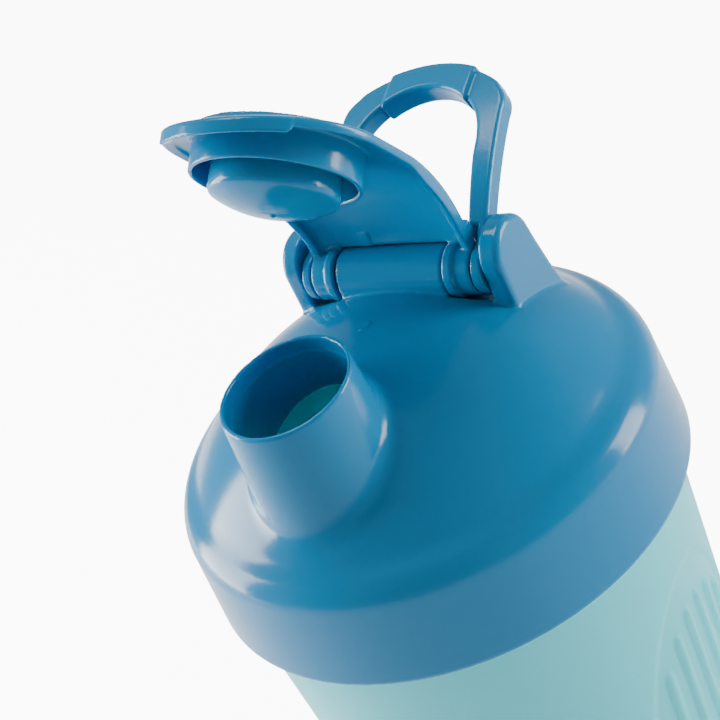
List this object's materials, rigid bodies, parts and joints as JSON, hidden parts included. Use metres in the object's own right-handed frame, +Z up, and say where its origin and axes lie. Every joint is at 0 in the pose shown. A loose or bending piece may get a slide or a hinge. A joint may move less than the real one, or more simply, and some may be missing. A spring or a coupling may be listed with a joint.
{
  "type": "protein shaker bottle",
  "caption": "Translucent shaker bottle with a screw lid, pouring spout, hinged flip cap, folding carry loop and a loose wire whisk ball.",
  "frame": {"origin": "centre of the flat underside of the tumbler, on the surface that it stands on", "axes": "+Z up along the axis of the tumbler, -Y towards the spout, +Y towards the hinge, +X to the right with the hinge behind"},
  "size_m": [0.096, 0.1018, 0.2565],
  "materials": {
    "cup_plastic": "translucent moulded polypropylene",
    "lid_plastic": "glossy moulded polypropylene",
    "seal_rubber": "matte silicone",
    "ball_steel": "polished steel wire"
  },
  "bodies": {
    "cup": {"tumbler": "cup_plastic"},
    "seal": {"lid_seal": "seal_rubber"},
    "lid": {"lid": "lid_plastic", "hinge_pin_left": "lid_plastic", "hinge_pin_right": "lid_plastic"},
    "cap": {"flip_cap": "lid_plastic"},
    "loop": {"carry_loop": "lid_plastic"},
    "ball": {"whisk_ball": "ball_steel"}
  },
  "joints": [
    {"name": "lid_lift", "type": "slide", "parent": "cup", "child": "seal", "axis": [0, 0, 1], "range_m": [0, 0.0212]},
    {"name": "lid_turn", "type": "hinge", "parent": "seal", "child": "lid", "pos_m": [0, 0, 0.17], "axis": [0, 0, 1], "range_deg": [0, 630]},
    {"name": "cap_flip", "type": "hinge", "parent": "lid", "child": "cap", "pos_m": [0, 0.016, 0.2029], "axis": [-1, 0, 0], "range_deg": [-58.3, 1.5]},
    {"name": "loop_fold", "type": "hinge", "parent": "lid", "child": "loop", "pos_m": [0, 0.016, 0.2029], "axis": [-1, 0, 0], "range_deg": [-1.5, 58]},
    {"name": "ball_shake", "type": "slide", "parent": "cup", "child": "ball", "axis": [0, 0, 1], "range_m": [0, 0.142]}
  ],
  "couplings": [
    {"joint": "lid_lift", "follows": "lid_turn", "m_per_rad": 0.0019099}
  ]
}
